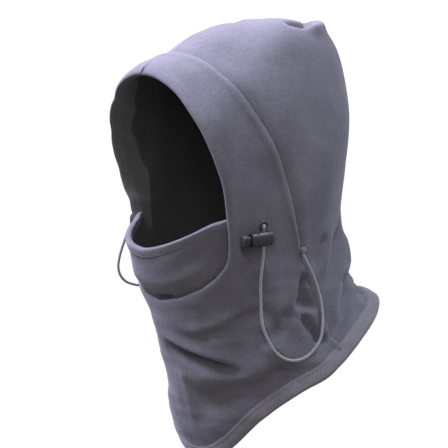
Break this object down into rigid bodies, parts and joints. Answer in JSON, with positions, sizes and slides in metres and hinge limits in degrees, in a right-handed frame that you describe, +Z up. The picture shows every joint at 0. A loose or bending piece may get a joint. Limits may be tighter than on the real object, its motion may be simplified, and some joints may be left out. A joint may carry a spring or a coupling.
{
  "type": "fleece hooded balaclava",
  "caption": "Lined fleece hood for head, face and neck, with a face opening, a pull-down mask panel, a brim drawcord and side cord locks.",
  "frame": {"origin": "the middle of the wearer's head at the height of the ears, where the head holds the hood", "axes": "+Z up through the crown, -Y towards the wearer's front, +X towards the wearer's left"},
  "size_m": [0.2162, 0.2537, 0.4133],
  "materials": {
    "shell_fleece": "brushed grey fleece with a faint violet cast",
    "lining_fleece": "dark brushed fleece",
    "tape": "folded and stitched fleece edge",
    "cord": "braided elastic cord",
    "lock_plastic": "moulded dark plastic",
    "spring_steel": "bright spring wire"
  },
  "bodies": {
    "hood": {"front_panel_left": "shell_fleece", "front_panel_right": "shell_fleece", "crown_panel_left": "shell_fleece", "crown_panel_right": "shell_fleece", "brim_facing_left": "shell_fleece", "brim_facing_right": "shell_fleece", "front_lining_left": "lining_fleece", "front_lining_right": "lining_fleece", "crown_lining_left": "lining_fleece", "crown_lining_right": "lining_fleece", "mask_panel": "shell_fleece", "mask_lining": "lining_fleece", "hem_band_left": "tape", "hem_band_right": "tape", "drawcord": "cord", "cord_loop_left": "cord", "cord_loop_right": "cord", "cord_end_tack_left": "tape", "cord_end_tack_right": "tape", "cord_eyelet_left": "lock_plastic", "cord_eyelet_right": "lock_plastic", "cord_lock_body_left": "lock_plastic", "cord_lock_body_right": "lock_plastic", "cord_lock_spring_left": "spring_steel", "cord_lock_spring_right": "spring_steel"},
    "mask_edge": {"mask_top_binding": "tape"},
    "lock_plunger_left": {"cord_lock_plunger_left": "lock_plastic"},
    "lock_plunger_right": {"cord_lock_plunger_right": "lock_plastic"}
  },
  "joints": [
    {"name": "mask_pull_down", "type": "slide", "parent": "hood", "child": "mask_edge", "axis": [0, 0.35, -0.9367], "range_m": [0, 0.03], "stiffness_N_per_m": 60, "springref_m": -0.002, "deforming": ["mask_panel", "mask_lining"]},
    {"name": "cord_lock_press_left", "type": "slide", "parent": "hood", "child": "lock_plunger_left", "axis": [0.1457, 0.9839, 0.1033], "range_m": [0, 0.0035], "stiffness_N_per_m": 300, "springref_m": -0.002, "deforming": ["cord_lock_spring_left"]},
    {"name": "cord_lock_press_right", "type": "slide", "parent": "hood", "child": "lock_plunger_right", "axis": [-0.1748, 0.1115, 0.9783], "range_m": [0, 0.0035], "stiffness_N_per_m": 300, "springref_m": -0.002, "deforming": ["cord_lock_spring_right"]}
  ]
}
